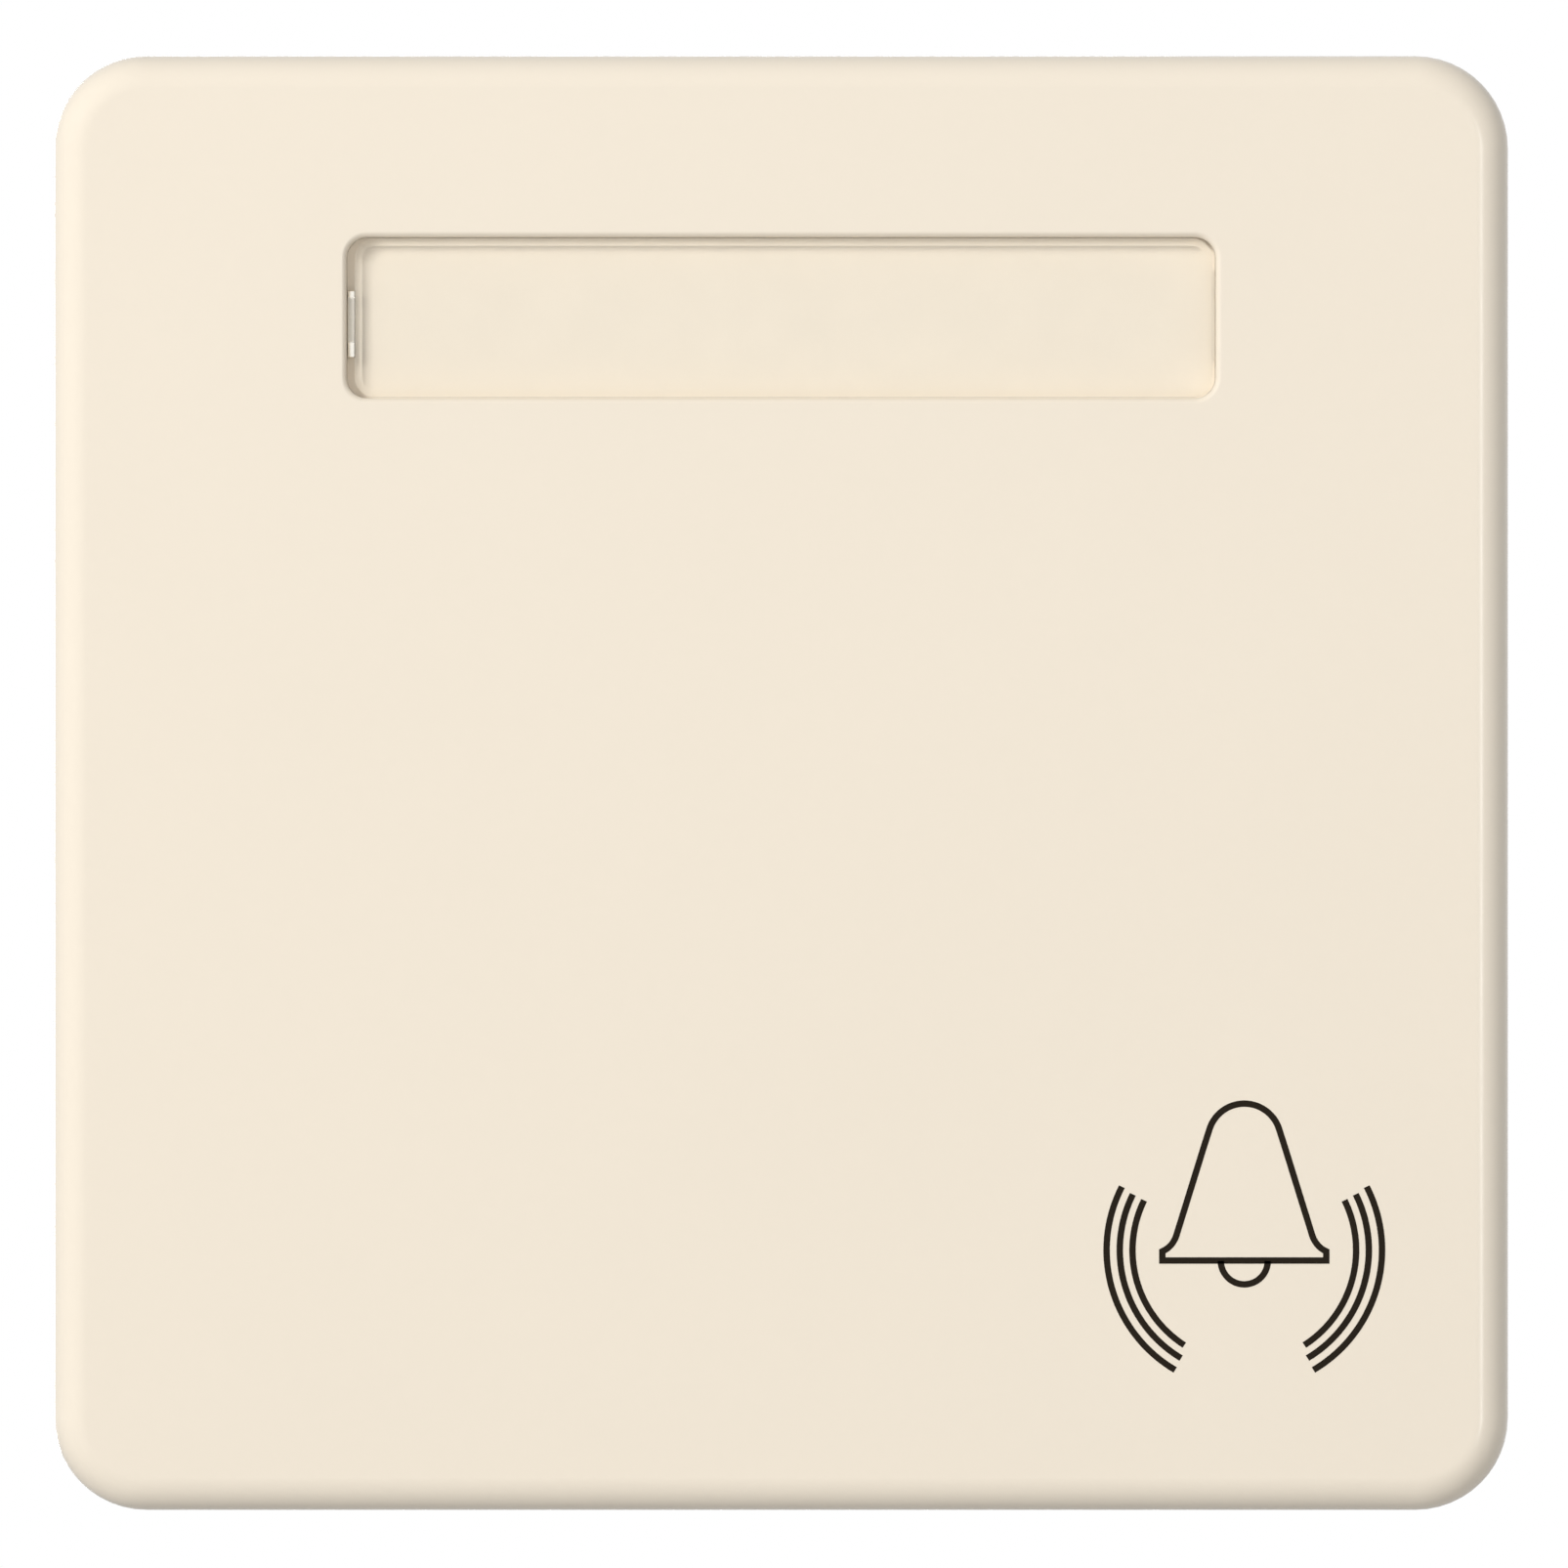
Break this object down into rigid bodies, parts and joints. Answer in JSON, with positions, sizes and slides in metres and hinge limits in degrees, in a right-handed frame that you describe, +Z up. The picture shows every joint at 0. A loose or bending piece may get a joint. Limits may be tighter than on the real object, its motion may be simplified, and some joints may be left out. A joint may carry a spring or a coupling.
{
  "type": "doorbell push button",
  "caption": "Square flush doorbell push button: a rocking cream plate with a clear name window over a sprung switch insert that fixes to a round wall box.",
  "frame": {"origin": "centre of the support ring on its back face, which lies on the wall", "axes": "+X right and +Z up as seen from the room, +Y into the wall"},
  "size_m": [0.07, 0.0341, 0.07],
  "materials": {
    "plate_plastic": "satin moulded thermoplastic, cream",
    "clear_plastic": "clear polished plastic",
    "label_card": "blank cream label",
    "mechanism_plastic": "white moulded polyamide",
    "housing_plastic": "light grey moulded polyamide",
    "plunger_plastic": "natural acetal",
    "lever_plastic": "orange moulded plastic",
    "zinc_steel": "zinc-plated steel",
    "spring_steel": "stainless spring steel",
    "screw_steel": "zinc-plated screw steel",
    "brass": "bright brass",
    "bronze": "phosphor bronze",
    "silver": "silver contact metal"
  },
  "bodies": {
    "insert": {"support_ring": "zinc_steel", "rivets": "zinc_steel", "base_housing": "housing_plastic", "housing_cover": "housing_plastic", "return_spring": "spring_steel", "busbar_left": "brass", "busbar_right": "brass", "fixed_contact_left": "silver", "fixed_contact_right": "silver", "clamp_spring_lower_left": "spring_steel", "clamp_spring_upper_left": "spring_steel", "clamp_spring_lower_right": "spring_steel", "clamp_spring_upper_right": "spring_steel"},
    "rocker": {"rocker_cover": "plate_plastic", "label_strip": "label_card", "actuator": "mechanism_plastic"},
    "window": {"label_window": "clear_plastic"},
    "switch_plunger": {"plunger": "plunger_plastic", "contact_bridge": "bronze", "moving_contact_left": "silver", "moving_contact_right": "silver"},
    "release_lever_left": {"release_lever_left": "lever_plastic"},
    "claw_left": {"claw_left": "zinc_steel"},
    "claw_screw_left": {"claw_screw_left": "screw_steel"},
    "release_lever_right": {"release_lever_right": "lever_plastic"},
    "claw_right": {"claw_right": "zinc_steel"},
    "claw_screw_right": {"claw_screw_right": "screw_steel"}
  },
  "joints": [
    {"name": "rocker_press", "type": "hinge", "parent": "insert", "child": "rocker", "pos_m": [0, -0.0046, 0], "axis": [1, 0, 0], "range_deg": [0, 4], "stiffness_Nm_per_rad": 0.5, "springref_deg": -5.73},
    {"name": "plunger_slide", "type": "slide", "parent": "insert", "child": "switch_plunger", "axis": [0, 1, 0], "range_m": [0, 0.00091], "deforming": ["return_spring"]},
    {"name": "window_tilt", "type": "hinge", "parent": "rocker", "child": "window", "pos_m": [0.02128, -0.01035, 0.02238], "axis": [0, 0, 1], "range_deg": [0, 10]},
    {"name": "release_left", "type": "slide", "parent": "insert", "child": "release_lever_left", "axis": [0, -1, 0], "range_m": [0, 0.0015], "stiffness_N_per_m": 1500, "springref_m": -0.0004, "deforming": ["clamp_spring_lower_left", "clamp_spring_upper_left"]},
    {"name": "claw_screw_turn_left", "type": "hinge", "parent": "insert", "child": "claw_screw_left", "pos_m": [-0.0235, 0, 0], "axis": [0, 1, 0], "range_deg": [0, 1800]},
    {"name": "claw_spread_left", "type": "hinge", "parent": "insert", "child": "claw_left", "pos_m": [-0.0235, 0.01695, 0], "axis": [0, 0, -1], "range_deg": [0, 18]},
    {"name": "release_right", "type": "slide", "parent": "insert", "child": "release_lever_right", "axis": [0, -1, 0], "range_m": [0, 0.0015], "stiffness_N_per_m": 1500, "springref_m": -0.0004, "deforming": ["clamp_spring_lower_right", "clamp_spring_upper_right"]},
    {"name": "claw_screw_turn_right", "type": "hinge", "parent": "insert", "child": "claw_screw_right", "pos_m": [0.0235, 0, 0], "axis": [0, 1, 0], "range_deg": [0, 1800]},
    {"name": "claw_spread_right", "type": "hinge", "parent": "insert", "child": "claw_right", "pos_m": [0.0235, 0.01695, 0], "axis": [0, 0, 1], "range_deg": [0, 18]}
  ],
  "couplings": [
    {"joint": "plunger_slide", "follows": "rocker_press", "m_per_rad": 0.013},
    {"joint": "claw_spread_left", "follows": "claw_screw_turn_left", "ratio": 0.01},
    {"joint": "claw_spread_right", "follows": "claw_screw_turn_right", "ratio": 0.01}
  ]
}
